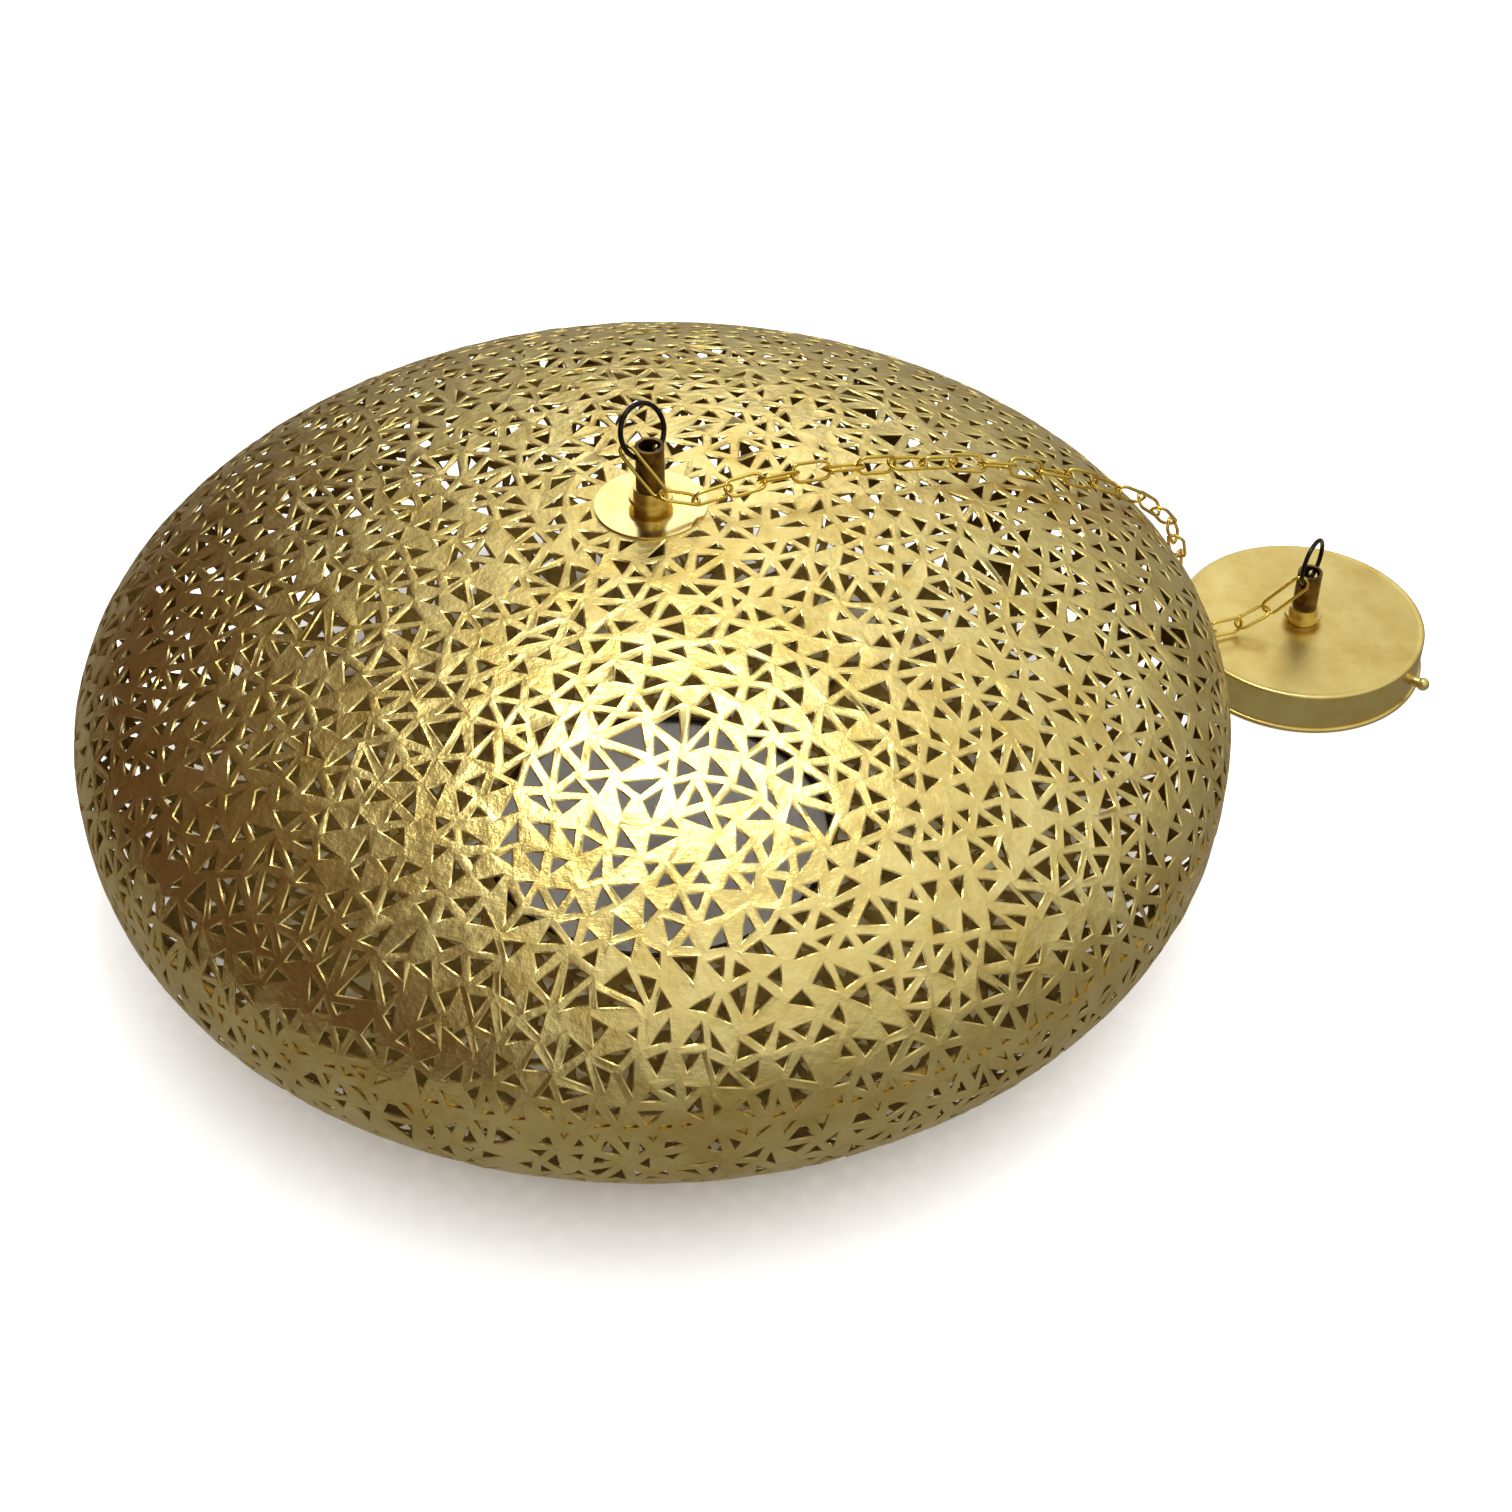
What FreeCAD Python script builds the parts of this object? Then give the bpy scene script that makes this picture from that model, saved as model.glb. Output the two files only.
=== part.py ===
"""Pierced brass pendant lantern, laid out on a table: shade, hanger, chain and ceiling canopy.

Millimetres, +Z up. The origin is on the table, under the middle of the shade, and the shade stands
on the rim of its lower opening with the hanger pointing up. The chain runs over the shade's right
shoulder to the canopy, which lies with its open side down, its ceiling bracket still fixed inside.
"""

import FreeCAD, Part
import Sketcher
import math
import os

Vector = FreeCAD.Vector
Rotation = FreeCAD.Rotation
Placement = FreeCAD.Placement

doc = FreeCAD.newDocument("PendantLantern")
sheet = doc.addObject("Spreadsheet::Sheet", "Sizes")
places = doc.addObject("Spreadsheet::Sheet", "Places")
nodes = []

# Driving dimensions: every one can be changed by itself.
DIMENSIONS = [
    # shade: two spun brass shells, joined at the widest line
    ("shade_radius", 250),
    ("upper_height", 100.8),
    ("lower_height", 87.1),
    ("lower_fullness", 3),
    ("shell_wall", 0.8),
    ("opening_radius", 80.5),
    ("rim_wire", 3),
    ("rim_gap", 0.02),
    ("band_height", 14),
    ("band_wall", 0.8),
    ("solder_gap", 0.1),
    ("plate_radius", 23.5),
    ("plate_thick", 1),
    # hanging set: the same on the shade and on the canopy
    ("thread_radius", 5),
    ("thread_gap", 0.05),
    ("wire_bore_radius", 3.8),
    ("collar_wall", 1.2),
    ("flange_reach", 2),
    ("collar_foot", 3),
    ("collar_flange", 2),
    ("collar_neck", 4),
    ("stem_step", 1),
    ("stem_bore_radius", 4.6),
    ("stem_height", 24),
    ("stem_seat", 4),
    ("cross_hole_drop", 4.4),
    ("ring_radius", 11.2),
    ("ring_wire", 2.2),
    ("ring_play", 0.43),
    ("washer_radius", 14),
    ("washer_thick", 1.2),
    ("nut_flats", 14),
    ("nut_height", 4),
    ("hanger_ring_azimuth", 42.3),
    ("hanger_ring_lean", 23.1),
    ("canopy_ring_azimuth", 54),
    ("canopy_ring_lean", 0.6),
    # lamp holder for a bulb with the 27 mm screw cap
    ("shade_nipple_tail", 14),
    ("holder_drop", 4),
    ("holder_radius", 19.5),
    ("holder_wall", 1),
    ("holder_boss_height", 6),
    ("holder_boss_radius", 7.5),
    ("cap_slope_radius", 15),
    ("cap_slope_drop", 3),
    ("cap_corner_drop", 8),
    ("holder_cap_height", 28),
    ("holder_shell_height", 38),
    ("holder_spigot", 6),
    ("spigot_root", 2),
    ("fit_gap", 0.1),
    ("lip_width", 2),
    ("insulator_thick", 10),
    ("insulator_drop", 4),
    ("socket_radius", 13.3),
    ("socket_wall", 0.5),
    ("socket_flange", 2),
    ("socket_depth", 26),
    ("recess_radius", 4.2),
    ("recess_depth", 2.6),
    ("contact_radius", 3.5),
    ("contact_button", 1.2),
    ("contact_gap", 1.8),
    ("contact_pin_radius", 1.2),
    ("contact_pin_length", 7),
    ("terminal_screw_radius", 2.5),
    ("terminal_screw_height", 2.5),
    ("terminal_screw_reach", 10),
    # canopy and ceiling bracket
    ("canopy_azimuth", 20.318),
    ("canopy_gap", 29.3),
    ("canopy_radius", 60),
    ("canopy_height", 22),
    ("canopy_wall", 1),
    ("bead_reach", 1.4),
    ("bead_height", 2.6),
    ("canopy_nipple_tail", 3),
    ("bracket_azimuth", -36),
    ("bracket_width", 18),
    ("bracket_thick", 2),
    ("bracket_gap", 1.5),
    ("tab_height", 15),
    ("wire_hole_radius", 7),
    ("ceiling_hole_circle", 72),
    ("ceiling_hole_radius", 2.5),
    ("screw_level", 10.5),
    ("screw_radius", 2),
    ("screw_gap", 0.08),
    ("screw_clear_hole", 2.4),
    ("screw_tip", 2.5),
    ("knob_neck_radius", 2.5),
    ("knob_neck", 2.6),
    ("knob_radius", 3.2),
    ("block_length", 20),
    ("block_width", 13),
    ("block_height", 8.5),
    ("block_offset", 20),
    ("block_bore", 1.7),
    ("block_screw_radius", 1.6),
    ("block_screw_height", 1.5),
    ("poles", 3),
    ("earth_offset", 20),
    ("earth_head_radius", 3.6),
    ("earth_head", 2.4),
    ("earth_washer_radius", 4.6),
    ("earth_washer", 0.8),
    # chain
    ("chain_wire", 1.6),
    ("link_length", 19.2),
    ("link_width", 9.2),
    ("long_link_length", 28),
    ("last_link_length", 27),
    ("link_count", 27),
    ("first_link_roll", 90),
    ("small_link_roll", 1),
    ("link_twist", 76),
    ("last_link_roll", 105.7),
]
for row, (alias, number) in enumerate(DIMENSIONS, 1):
    sheet.set(f"A{row}", alias)
    sheet.set(f"B{row}", str(number))
    sheet.setAlias(f"B{row}", alias)
doc.recompute()

# Sizes and heights that follow from the driving dimensions. Heights are above the table.
FOLLOWING = [
    ("stem_radius", "Sizes.thread_radius + Sizes.stem_step"),
    ("collar_radius", "stem_radius + Sizes.collar_wall"),
    ("flange_radius", "collar_radius + Sizes.flange_reach"),
    ("ring_sag", "Sizes.ring_radius - sqrt(pow(Sizes.ring_radius; 2) - pow(stem_radius; 2))"),
    ("cross_hole_radius", "(Sizes.ring_wire + ring_sag) / 2 + Sizes.ring_play"),
    ("canopy_reach", "Sizes.shade_radius + Sizes.canopy_radius + Sizes.bead_reach + Sizes.canopy_gap"),
    ("canopy_x", "canopy_reach * cos(Sizes.canopy_azimuth)"),
    ("canopy_y", "canopy_reach * sin(Sizes.canopy_azimuth)"),
    ("shell_foot", "Sizes.rim_wire / 2"),
    (
        "equator",
        "shell_foot + Sizes.lower_height * pow(1 - pow(Sizes.opening_radius / Sizes.shade_radius;"
        " Sizes.lower_fullness); 1 / Sizes.lower_fullness)",
    ),
    (
        "crown",
        "equator + Sizes.upper_height * sqrt(1 - pow(Sizes.plate_radius / Sizes.shade_radius; 2))",
    ),
    ("crown_inside", "crown - Sizes.shell_wall"),
    ("shade_seat", "crown + Sizes.plate_thick"),
    ("canopy_seat", "Sizes.canopy_height"),
    ("canopy_inside", "Sizes.canopy_height - Sizes.canopy_wall"),
    ("collar_top", "Sizes.collar_foot + Sizes.collar_flange + Sizes.collar_neck"),
    ("stem_foot", "collar_top - Sizes.stem_seat"),
    ("cross_hole", "stem_foot + Sizes.stem_height - Sizes.cross_hole_drop"),
    ("nut_underside", "crown_inside - Sizes.washer_thick - Sizes.nut_height"),
    ("holder_top", "nut_underside - Sizes.holder_drop"),
    ("holder_joint", "holder_top - Sizes.holder_cap_height"),
    ("holder_foot", "holder_joint - Sizes.holder_shell_height"),
    ("insulator_top", "holder_joint + Sizes.insulator_drop"),
    ("insulator_foot", "insulator_top - Sizes.insulator_thick"),
    ("contact_top", "insulator_foot + Sizes.recess_depth - Sizes.contact_gap"),
]
for row, (alias, formula) in enumerate(FOLLOWING, 1):
    places.set(f"A{row}", alias)
    places.setAlias(f"B{row}", alias)
    places.set(f"B{row}", "=" + formula)
doc.recompute()


def size(alias):
    """A number from the sheet of sizes."""
    return float(sheet.get(alias))


def placed(alias):
    """A number from the sheet of places: what follows from the driving dimensions."""
    return float(places.get(alias))


def keep(label, item):
    """Names a finished sub-part, which is written to a file of that name."""
    item.Label = label
    nodes.append(item)
    return item


def turned(label, outline, x="0", y="0"):
    """A turned body: corners as (radius, height) expressions, spun once about the vertical."""
    body = doc.addObject("PartDesign::Body", label)
    origin = {item.Role: item for item in body.Origin.OriginFeatures}
    sketch = body.newObject("Sketcher::SketchObject", label + "_outline")
    sketch.AttachmentSupport = [(origin["XZ_Plane"], "")]
    sketch.MapMode = "FlatFace"
    corners = [
        Vector(float(sketch.evalExpression(r)), float(sketch.evalExpression(z)), 0) for r, z in outline
    ]
    count = len(corners)
    for i in range(count):
        sketch.addGeometry(Part.LineSegment(corners[i], corners[(i + 1) % count]), False)
    for i in range(count):
        sketch.addConstraint(Sketcher.Constraint("Coincident", i, 2, (i + 1) % count, 1))
    for i, (radius, level) in enumerate(outline):
        for kind, number, expression, axis in (
            ("DistanceX", corners[i].x, radius, -2),
            ("DistanceY", corners[i].y, level, -1),
        ):
            if expression == "0":
                sketch.addConstraint(Sketcher.Constraint("PointOnObject", i, 1, axis))
                continue
            index = sketch.addConstraint(Sketcher.Constraint(kind, -1, 1, i, 1, number))
            sketch.setExpression(f"Constraints[{index}]", expression)
    spin = body.newObject("PartDesign::Revolution", label + "_spin")
    spin.Profile = sketch
    spin.ReferenceAxis = (origin["Z_Axis"], [""])
    spin.Angle = 360
    body.setExpression("Placement.Base.x", x)
    body.setExpression("Placement.Base.y", y)
    return body


def turned_piece(label, outline, x="0", y="0"):
    """A sub-part that is one turned body."""
    return keep(label, turned(label, outline, x, y))


def solid(kind, name, place=("0", "0", "0"), **sizes):
    """A primitive with its sizes and place bound to expressions."""
    item = doc.addObject("Part::" + kind, name)
    for name_of_size, expression in sizes.items():
        item.setExpression(name_of_size, expression)
    for axis, expression in zip("xyz", place):
        item.setExpression("Placement.Base." + axis, expression)
    return item


def joined(name, items):
    """Several solids as one object."""
    item = doc.addObject("Part::MultiFuse", name)
    item.Shapes = items
    return item


def cut(name, base, tools):
    """A base with all the tools taken away."""
    item = doc.addObject("Part::Cut", name)
    item.Base = base
    item.Tool = tools[0] if len(tools) == 1 else joined(name + "_tools", tools)
    return item


def shaped(label, shape):
    """A sub-part whose shape is worked out here, because no feature or primitive makes it."""
    item = doc.addObject("Part::Feature", label)
    item.Shape = shape
    return keep(label, item)


# ---------------------------------------------------------------- shade


def upper_curve(inset, start, end):
    """Part of the shade's upper outline: an ellipse, set in by a wall, between two heights."""
    a = size("shade_radius") - inset
    c = size("upper_height") - inset
    middle = Vector(0, 0, placed("equator"))
    ellipse = Part.Ellipse(middle + Vector(a, 0, 0), middle + Vector(0, 0, c), middle)
    arc = Part.ArcOfEllipse(ellipse, math.asin(start / c), math.asin(end / c))
    return arc.toShape(), arc.StartPoint, arc.EndPoint


def lower_curve(inset, end):
    """Part of the shade's lower outline, set in by a wall, from the equator down to a depth.

    It is fuller than an ellipse, rounder at the shoulder and flatter underneath, where the depth
    and the radius follow (radius / a)^n + (depth / c)^n = 1.
    """
    a = size("shade_radius") - inset
    c = size("lower_height") - inset
    power = size("lower_fullness")
    turn = math.atan2(end, a * (1 - (end / c) ** power) ** (1 / power))
    steps = 16
    points = []
    for step in range(steps + 1):
        angle = turn * step / steps
        reach = ((math.cos(angle) / a) ** power + (math.sin(angle) / c) ** power) ** (-1 / power)
        points.append(Vector(reach * math.cos(angle), 0, placed("equator") - reach * math.sin(angle)))
    curve = Part.BSplineCurve()
    curve.interpolate(points)
    return curve.toShape(), points[0], points[-1]


def spun(edges):
    """The face inside a closed outline, turned once about the vertical."""
    face = Part.Face(Part.Wire(Part.sortEdges(edges)[0]))
    return face.revolve(Vector(0, 0, 0), Vector(0, 0, 1), 360)


def make_upper_shell():
    """Spun dome with a flat seat pressed in its crown for the plate."""
    wall = size("shell_wall")
    bore = size("thread_radius") + size("thread_gap")
    rise = placed("crown") - placed("equator")
    outer, outer_foot, outer_seat = upper_curve(0, 0, rise)
    inner, inner_foot, inner_seat = upper_curve(wall, 0, rise - wall)
    edge_top = Vector(bore, 0, placed("crown"))
    edge_low = Vector(bore, 0, placed("crown_inside"))
    shaped(
        "upper_shell",
        spun(
            [
                outer,
                Part.makeLine(outer_seat, edge_top),
                Part.makeLine(edge_top, edge_low),
                Part.makeLine(edge_low, inner_seat),
                inner,
                Part.makeLine(inner_foot, outer_foot),
            ]
        ),
    )


def depth_at(inset, radius):
    """How far below the equator the lower outline is where it comes in to a radius."""
    a = size("shade_radius") - inset
    c = size("lower_height") - inset
    power = size("lower_fullness")
    return c * (1 - (radius / a) ** power) ** (1 / power)


def make_lower_shell():
    """Spun bowl, open below, cut off square at the opening."""
    wall = size("shell_wall")
    edge = size("opening_radius")
    outer, outer_top, outer_foot = lower_curve(0, depth_at(0, edge))
    inner, inner_top, inner_foot = lower_curve(wall, depth_at(wall, edge))
    shaped(
        "lower_shell",
        spun(
            [
                outer,
                Part.makeLine(outer_foot, inner_foot),
                inner,
                Part.makeLine(inner_top, outer_top),
            ]
        ),
    )


def make_seam_band():
    """Band soldered inside, across the line where the two shells meet."""
    half = size("band_height") / 2
    near = size("shell_wall") + size("solder_gap")
    far = near + size("band_wall")
    edges = []
    ends = []
    for inset in (near, far):
        upper, middle, top = upper_curve(inset, 0, half)
        lower, middle, foot = lower_curve(inset, half)
        edges += [upper, lower]
        ends.append((top, foot))
    edges.append(Part.makeLine(ends[0][0], ends[1][0]))
    edges.append(Part.makeLine(ends[0][1], ends[1][1]))
    shaped("seam_band", spun(edges))


def make_opening_rim():
    """Round wire soldered into the edge of the lower opening. The shade stands on it."""
    rim = solid(
        "Torus",
        "opening_rim",
        ("0", "0", "Sizes.rim_wire / 2"),
        Radius1="Sizes.opening_radius - Sizes.rim_wire / 2 - Sizes.rim_gap",
        Radius2="Sizes.rim_wire / 2",
    )
    keep("opening_rim", rim)


def make_top_plate():
    """Thin polished disc on the crown."""
    turned_piece(
        "top_plate",
        [
            ("Sizes.thread_radius + Sizes.thread_gap", "Places.crown"),
            ("Sizes.plate_radius", "Places.crown"),
            ("Sizes.plate_radius", "Places.shade_seat"),
            ("Sizes.thread_radius + Sizes.thread_gap", "Places.shade_seat"),
        ],
    )


# ---------------------------------------------------------------- hanging sets


def make_collar(label, seat, x, y):
    """Turned coupling: foot, wide flange and neck, tapped below, bored above for the stem."""
    tap = "Sizes.thread_radius + Sizes.thread_gap"
    bore = "Places.stem_radius + Sizes.thread_gap"
    flange_foot = f"{seat} + Sizes.collar_foot"
    flange_top = f"{seat} + Sizes.collar_foot + Sizes.collar_flange"
    top = f"{seat} + Places.collar_top"
    shoulder = f"{seat} + Places.stem_foot"
    turned_piece(
        label,
        [
            (tap, seat),
            ("Places.collar_radius", seat),
            ("Places.collar_radius", flange_foot),
            ("Places.flange_radius", flange_foot),
            ("Places.flange_radius", flange_top),
            ("Places.collar_radius", flange_top),
            ("Places.collar_radius", top),
            (bore, top),
            (bore, shoulder),
            (tap, shoulder),
        ],
        x,
        y,
    )


def make_stem(label, seat, x, y, azimuth):
    """Hollow stem with a cross hole for the ring. The lamp wire comes out of its open top."""
    foot = f"{seat} + Places.stem_foot"
    length = "Sizes.stem_height"
    rod = solid("Cylinder", label + "_rod", (x, y, foot), Radius="Places.stem_radius", Height=length)
    bore = solid("Cylinder", label + "_bore", (x, y, foot), Radius="Sizes.stem_bore_radius", Height=length)
    hole = doc.addObject("Part::Cylinder", label + "_cross_hole")
    hole.setExpression("Radius", "Places.cross_hole_radius")
    hole.setExpression("Height", "4 * Places.stem_radius")
    turn = Rotation(Vector(0, 0, 1), size(azimuth)).multiply(Rotation(Vector(0, 1, 0), 90))
    level = f"{seat} + Places.cross_hole"
    middle = Vector(*[hole.evalExpression(formula) for formula in (x, y, level)])
    start = Placement(Vector(0, 0, -2 * placed("stem_radius")), Rotation())
    hole.Placement = Placement(middle, turn) * start
    keep(label, cut(label, rod, [bore, hole]))


def make_ring(label, seat, azimuth, lean):
    """Closed steel ring through the stem's cross hole, leaning a little. The chain hangs on it."""
    turn = math.radians(size(azimuth))
    tilt = math.radians(size(lean))
    along_hole = Vector(math.cos(turn), math.sin(turn), 0)
    back = Vector(-math.sin(turn), math.cos(turn), 0)
    rise = Vector(0, 0, math.cos(tilt)) + back * math.sin(tilt)
    hole = Vector(*seat) + Vector(0, 0, placed("cross_hole"))
    ring = doc.addObject("Part::Torus", label)
    ring.setExpression("Radius1", "Sizes.ring_radius")
    ring.setExpression("Radius2", "Sizes.ring_wire / 2")
    centre = hole + rise * (size("ring_radius") - placed("ring_sag") / 2)
    ring.Placement = Placement(centre, Rotation(Vector(0, 0, 1), along_hole.cross(rise)))
    keep(label, ring)


def make_nipple(label, seat, below, x, y):
    """Threaded tube that clamps the collar, the sheet metal, the washer and the nut together."""
    turned_piece(
        label,
        [
            ("Sizes.wire_bore_radius", below),
            ("Sizes.thread_radius", below),
            ("Sizes.thread_radius", f"{seat} + Places.stem_foot"),
            ("Sizes.wire_bore_radius", f"{seat} + Places.stem_foot"),
        ],
        x,
        y,
    )


def make_washer(label, under, x, y):
    """Flat steel washer that spreads the nut's load over the thin sheet."""
    turned_piece(
        label,
        [
            ("Sizes.thread_radius + Sizes.thread_gap", f"{under} - Sizes.washer_thick"),
            ("Sizes.washer_radius", f"{under} - Sizes.washer_thick"),
            ("Sizes.washer_radius", under),
            ("Sizes.thread_radius + Sizes.thread_gap", under),
        ],
        x,
        y,
    )


def make_lock_nut(label, under, x, y):
    """Hexagon nut on the threaded tube, below the washer."""
    place = (x, y, f"{under} - Sizes.washer_thick - Sizes.nut_height")
    corner = "Sizes.nut_flats / sqrt(3)"
    bore = "Sizes.thread_radius + Sizes.thread_gap"
    hexagon = solid("Prism", label + "_hexagon", place, Circumradius=corner, Height="Sizes.nut_height")
    thread = solid("Cylinder", label + "_thread", place, Radius=bore, Height="Sizes.nut_height")
    keep(label, cut(label, hexagon, [thread]))


def make_hanging_set(name, seat, under, below, x, y, azimuth):
    """Collar, stem, threaded tube, washer and nut, stacked on one axis."""
    make_collar(name + "_collar", seat, x, y)
    make_stem(name + "_stem", seat, x, y, azimuth)
    make_nipple(name + "_nipple", seat, below, x, y)
    make_washer(name + "_washer", under, x, y)
    make_lock_nut(name + "_lock_nut", under, x, y)


# ---------------------------------------------------------------- lamp holder


def make_holder_cap():
    """Domed brass cap, tapped for the threaded tube."""
    tap = "Sizes.thread_radius + Sizes.thread_gap"
    top = "Places.holder_top"
    boss_foot = f"{top} - Sizes.holder_boss_height"
    slope = f"{boss_foot} - Sizes.cap_slope_drop"
    corner = f"{boss_foot} - Sizes.cap_corner_drop"
    inner = "Sizes.holder_radius - Sizes.holder_wall"
    turned_piece(
        "holder_cap",
        [
            (tap, top),
            ("Sizes.holder_boss_radius", top),
            ("Sizes.holder_boss_radius", boss_foot),
            ("Sizes.cap_slope_radius", slope),
            ("Sizes.holder_radius", corner),
            ("Sizes.holder_radius", "Places.holder_joint"),
            (inner, "Places.holder_joint"),
            (inner, f"{corner} - Sizes.holder_wall / 2"),
            ("Sizes.cap_slope_radius - Sizes.holder_wall / 2", f"{slope} - Sizes.holder_wall"),
            (tap, f"{boss_foot} - Sizes.holder_wall"),
        ],
    )


def make_holder_shell():
    """Lower sleeve of the lamp holder: its spigot pushes up into the cap."""
    outer = "Sizes.holder_radius"
    inner = "Sizes.holder_radius - Sizes.holder_wall"
    spigot = "Sizes.holder_radius - Sizes.holder_wall - Sizes.fit_gap"
    spigot_bore = "Sizes.holder_radius - 2 * Sizes.holder_wall - Sizes.fit_gap"
    turned_piece(
        "holder_shell",
        [
            (outer, "Places.holder_foot"),
            (outer, "Places.holder_joint"),
            (spigot, "Places.holder_joint"),
            (spigot, "Places.holder_joint + Sizes.holder_spigot"),
            (spigot_bore, "Places.holder_joint + Sizes.holder_spigot"),
            (spigot_bore, "Places.holder_joint - Sizes.spigot_root"),
            (inner, "Places.holder_joint - Sizes.spigot_root"),
            (inner, "Places.holder_foot + Sizes.holder_wall"),
            (f"{inner} - Sizes.lip_width", "Places.holder_foot + Sizes.holder_wall"),
            (f"{inner} - Sizes.lip_width", "Places.holder_foot"),
        ],
    )


def make_insulator():
    """Glazed ceramic disc that carries the contacts, inside the spigot, recessed for the button."""
    edge = "Sizes.holder_radius - 2 * Sizes.holder_wall - 2 * Sizes.fit_gap"
    hole = "Sizes.contact_pin_radius + Sizes.fit_gap"
    turned_piece(
        "ceramic_insulator",
        [
            ("Sizes.recess_radius", "Places.insulator_foot"),
            (edge, "Places.insulator_foot"),
            (edge, "Places.insulator_top"),
            (hole, "Places.insulator_top"),
            (hole, "Places.insulator_foot + Sizes.recess_depth"),
            ("Sizes.recess_radius", "Places.insulator_foot + Sizes.recess_depth"),
        ],
    )


def make_screw_sleeve():
    """Brass sleeve that the bulb screws into, flanged against the insulator."""
    top = "Places.insulator_foot"
    bore = "Sizes.socket_radius"
    turned_piece(
        "screw_sleeve",
        [
            (bore, f"{top} - Sizes.socket_depth"),
            (f"{bore} + Sizes.socket_wall", f"{top} - Sizes.socket_depth"),
            (f"{bore} + Sizes.socket_wall", top),
            (f"{bore} - Sizes.socket_flange", top),
            (f"{bore} - Sizes.socket_flange", f"{top} - Sizes.socket_wall"),
            (bore, f"{top} - Sizes.socket_wall"),
        ],
    )


def make_centre_contact():
    """Sprung contact: a button on a pin that slides up in the insulator when a bulb goes in."""
    top = "Places.contact_top"
    turned_piece(
        "centre_contact",
        [
            ("0", f"{top} - Sizes.contact_button"),
            ("Sizes.contact_radius", f"{top} - Sizes.contact_button"),
            ("Sizes.contact_radius", top),
            ("Sizes.contact_pin_radius", top),
            ("Sizes.contact_pin_radius", f"{top} + Sizes.contact_pin_length"),
            ("0", f"{top} + Sizes.contact_pin_length"),
        ],
    )


def make_terminal_screws():
    """Two screws on top of the insulator, for the live and neutral wires."""
    screws = [
        solid(
            "Cylinder",
            "terminal_screw_" + side,
            (sign + "Sizes.terminal_screw_reach", "0", "Places.insulator_top"),
            Radius="Sizes.terminal_screw_radius",
            Height="Sizes.terminal_screw_height",
        )
        for side, sign in (("left", "-"), ("right", ""))
    ]
    keep("terminal_screws", joined("terminal_screws", screws))


# ---------------------------------------------------------------- canopy


def on_canopy(item, along=0.0, level=0.0):
    """Places an item that was made about its own axis in the bracket's direction."""
    turn = Rotation(Vector(0, 0, 1), size("bracket_azimuth"))
    centre = Placement(Vector(placed("canopy_x"), placed("canopy_y"), level), turn)
    item.Placement = centre * Placement(Vector(along, 0, 0), Rotation())
    return item


def tab_face():
    """How far the outer faces of the bracket's tabs stand from the canopy's axis."""
    return size("canopy_radius") - size("canopy_wall") - size("bracket_gap")


def make_canopy_cover():
    """Spun cover: flat disc, straight wall and a rolled bead at the ceiling edge."""
    outer = "Sizes.canopy_radius"
    inner = "Sizes.canopy_radius - Sizes.canopy_wall"
    roll = "Sizes.bead_reach / 2"
    cover = turned(
        "canopy_cover_sheet",
        [
            (inner, "0"),
            (f"{outer} + {roll}", "0"),
            (f"{outer} + Sizes.bead_reach", roll),
            (f"{outer} + Sizes.bead_reach", f"Sizes.bead_height - {roll}"),
            (f"{outer} + {roll}", "Sizes.bead_height"),
            (outer, "Sizes.bead_height"),
            (outer, "Sizes.canopy_height"),
            ("Sizes.thread_radius + Sizes.thread_gap", "Sizes.canopy_height"),
            ("Sizes.thread_radius + Sizes.thread_gap", "Places.canopy_inside"),
            (inner, "Places.canopy_inside"),
        ],
        "Places.canopy_x",
        "Places.canopy_y",
    )
    hole = doc.addObject("Part::Cylinder", "canopy_screw_holes")
    hole.setExpression("Radius", "Sizes.screw_clear_hole")
    hole.setExpression("Height", "4 * Sizes.canopy_radius")
    hole.Placement = across_canopy(-2 * size("canopy_radius"))
    keep("canopy_cover", cut("canopy_cover", cover, [hole]))


def across_canopy(start, turn=0.0):
    """The line of the two side screws: its start, measured outwards from the canopy's axis."""
    azimuth = Rotation(Vector(0, 0, 1), size("bracket_azimuth") + turn)
    middle = Vector(placed("canopy_x"), placed("canopy_y"), size("screw_level"))
    out = Rotation(Vector(0, 1, 0), 90)
    return Placement(middle, azimuth) * Placement(Vector(start, 0, 0), out)


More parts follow.
